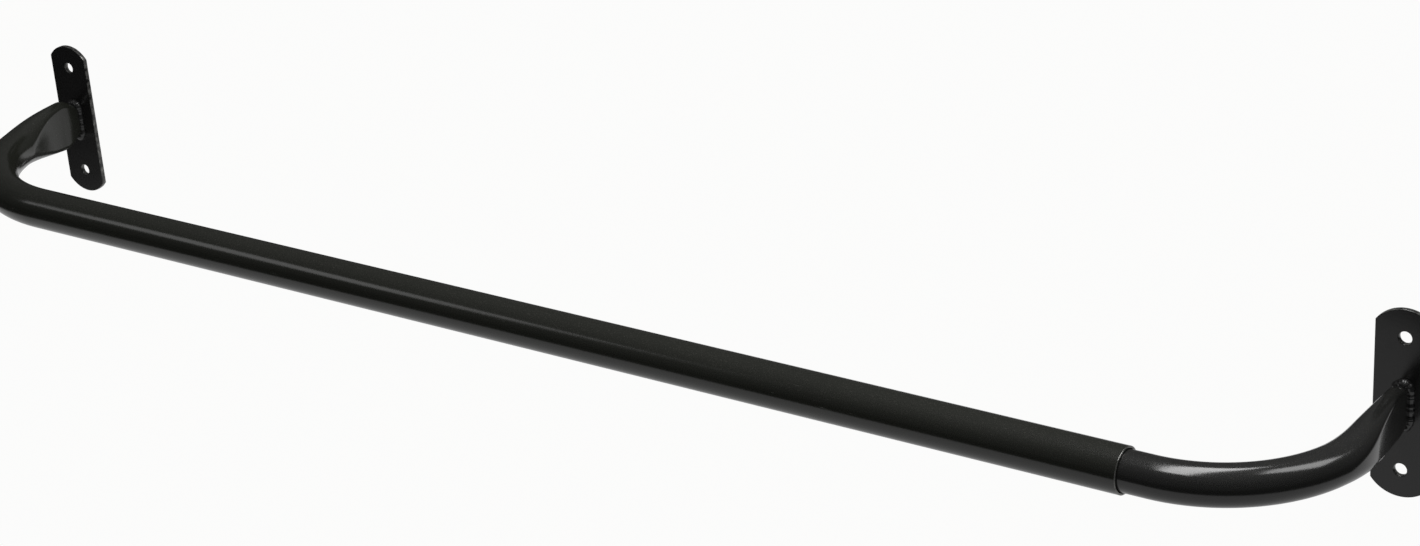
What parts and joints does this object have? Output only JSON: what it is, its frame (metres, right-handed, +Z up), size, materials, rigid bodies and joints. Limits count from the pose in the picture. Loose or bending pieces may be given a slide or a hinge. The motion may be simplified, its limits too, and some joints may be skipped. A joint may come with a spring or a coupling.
{
  "type": "telescoping wrap-around curtain rod",
  "caption": "Telescoping steel curtain rod whose ends turn back to the wall and end in welded wall plates with screw holes.",
  "frame": {"origin": "centre of the left wall plate's back face, on the wall", "axes": "+X along the rod from the left plate to the right plate, +Y into the wall, +Z up"},
  "size_m": [0.982, 0.1425, 0.105],
  "materials": {
    "tube_enamel": "gloss black enamel on steel tube",
    "plate_enamel": "gloss black enamel on steel plate",
    "weld_enamel": "black enamel over a weld bead",
    "plug_nylon": "moulded black nylon"
  },
  "bodies": {
    "outer_rod": {"outer_tube": "tube_enamel", "left_wall_plate": "plate_enamel", "left_weld_bead": "weld_enamel"},
    "glide": {"glide_plug": "plug_nylon"},
    "inner_rod": {"inner_tube": "tube_enamel", "right_wall_plate": "plate_enamel", "right_weld_bead": "weld_enamel"}
  },
  "joints": [
    {"name": "telescope_slide", "type": "slide", "parent": "outer_rod", "child": "glide", "axis": [1, 0, 0], "range_m": [-0.01, 0.6]},
    {"name": "tube_twist", "type": "hinge", "parent": "glide", "child": "inner_rod", "pos_m": [0.15, -0.13, 0], "axis": [1, 0, 0], "continuous": true}
  ]
}
